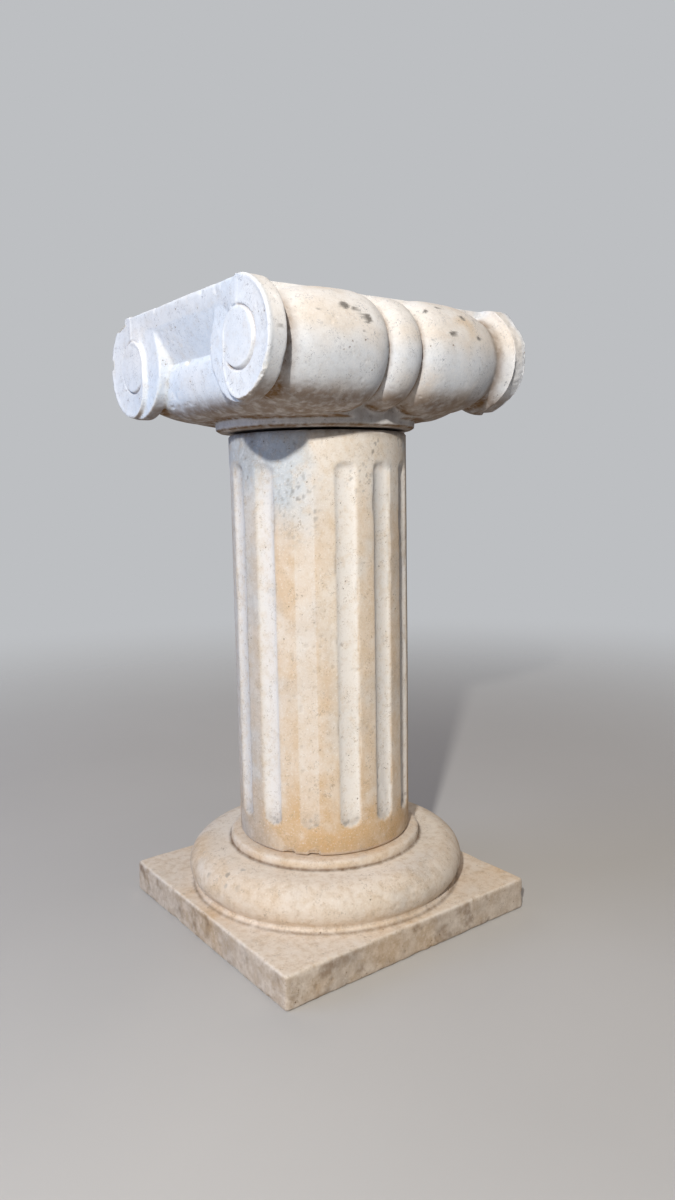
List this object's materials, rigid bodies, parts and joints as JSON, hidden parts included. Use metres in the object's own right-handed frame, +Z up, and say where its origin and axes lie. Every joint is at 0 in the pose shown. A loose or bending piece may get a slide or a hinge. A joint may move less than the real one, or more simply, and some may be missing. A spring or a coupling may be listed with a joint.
{
  "type": "ionic column pedestal",
  "caption": "Short limestone Ionic column used as a pedestal: scrolled capital with rolled bolsters, fluted round shaft, torus and square plinth",
  "frame": {"origin": "centre of the underside of the square plinth", "axes": "+Z up; the scroll faces of the capital look along -Y (front) and +Y (back); the rolled bolsters are on the -X and +X sides"},
  "size_m": [0.3738, 0.37, 0.7565],
  "materials": {
    "base_stone": "cream limestone, hand-dressed, worn arrises, grey and ochre staining",
    "shaft_stone": "honey limestone, hand-cut flutes, pitted, whitish flute beds",
    "capital_stone": "pale cream limestone, rubbed smooth, pitted, grey lichen spots and chipped rims"
  },
  "bodies": {
    "root": {"base": "base_stone", "shaft": "shaft_stone", "capital": "capital_stone"}
  },
  "joints": []
}
